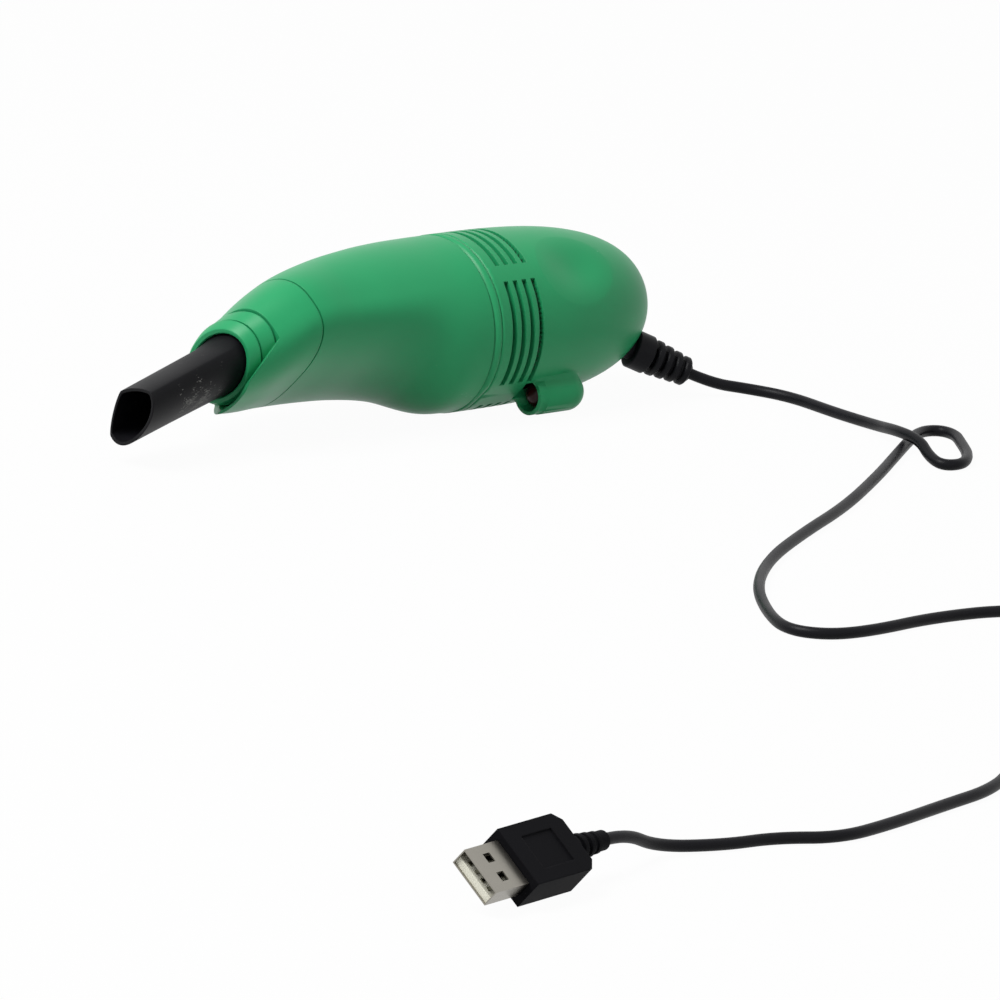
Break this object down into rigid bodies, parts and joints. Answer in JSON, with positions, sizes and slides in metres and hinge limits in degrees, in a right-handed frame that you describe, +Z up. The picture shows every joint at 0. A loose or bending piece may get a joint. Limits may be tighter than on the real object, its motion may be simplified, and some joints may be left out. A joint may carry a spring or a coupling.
{
  "type": "handheld mini vacuum cleaner",
  "caption": "Palm-sized desk vacuum with a crevice nozzle, pull-off dust chamber, slide switch, lamp pod and a USB lead.",
  "frame": {"origin": "bottom centre of the box round the tool without its lead, on the table that it lies on", "axes": "+X to the rear where the lead leaves, nozzle towards -X, +Z up; the tool lies rolled over by 44.5 degrees, on its belly and its lamp pod"},
  "size_m": [0.405, 0.3807, 0.0446],
  "materials": {
    "case": "satin moulded plastic",
    "nozzle_rubber": "matt black rubber, scuffed along its lower lip",
    "inner_plastic": "matt moulded plastic",
    "fan_plastic": "matt moulded plastic",
    "switch_plastic": "matt moulded plastic",
    "filter_cloth": "thin non-woven cloth",
    "steel": "zinc plated",
    "brass": "bright",
    "lamp_red": "dark clear red resin",
    "resistor": "lacquered",
    "wire_red": "vinyl",
    "wire_black": "vinyl",
    "lead_rubber": "satin black vinyl",
    "plug_metal": "nickel plated sheet",
    "plug_cream": "matt moulded plastic"
  },
  "bodies": {
    "case": {"rear_shell_left": "case", "rear_shell_right": "case", "filter_frame": "inner_plastic", "filter_cloth": "filter_cloth", "fan_cover": "inner_plastic", "motor_can": "steel", "motor_bushing": "brass", "motor_end_cap": "inner_plastic", "motor_terminals": "brass", "motor_bracket": "inner_plastic", "bracket_screws": "steel", "switch_body": "inner_plastic", "switch_terminals": "brass", "lamp_led": "lamp_red", "lamp_leads": "steel", "lamp_resistor": "resistor", "housing_screws": "steel", "wire_red": "wire_red", "wire_black": "wire_black", "strain_relief": "lead_rubber", "cord_lead": "lead_rubber", "cord_coil": "lead_rubber", "cord_tail": "lead_rubber", "plug_body": "lead_rubber", "plug_shell": "plug_metal", "plug_insulator": "plug_cream", "plug_contacts": "brass"},
    "chamber": {"dust_chamber": "case", "nose_cone": "case", "nozzle_collar": "case"},
    "nozzle": {"crevice_nozzle": "nozzle_rubber"},
    "fan": {"motor_shaft": "steel", "impeller": "fan_plastic"},
    "thumb": {"switch_slider": "switch_plastic"}
  },
  "joints": [
    {"name": "fan_spin", "type": "hinge", "parent": "case", "child": "fan", "pos_m": [0.01709, 0.0002, 0.02248], "axis": [1, 0, 0], "continuous": true},
    {"name": "switch_slide", "type": "slide", "parent": "case", "child": "thumb", "axis": [1, 0, 0], "range_m": [0, 0.003]},
    {"name": "chamber_pull", "type": "slide", "parent": "case", "child": "chamber", "axis": [-1, 0, 0], "range_m": [0, 0.03]},
    {"name": "nozzle_pull", "type": "slide", "parent": "chamber", "child": "nozzle", "axis": [-0.9744, -0.1577, -0.1604], "range_m": [0, 0.012]}
  ]
}
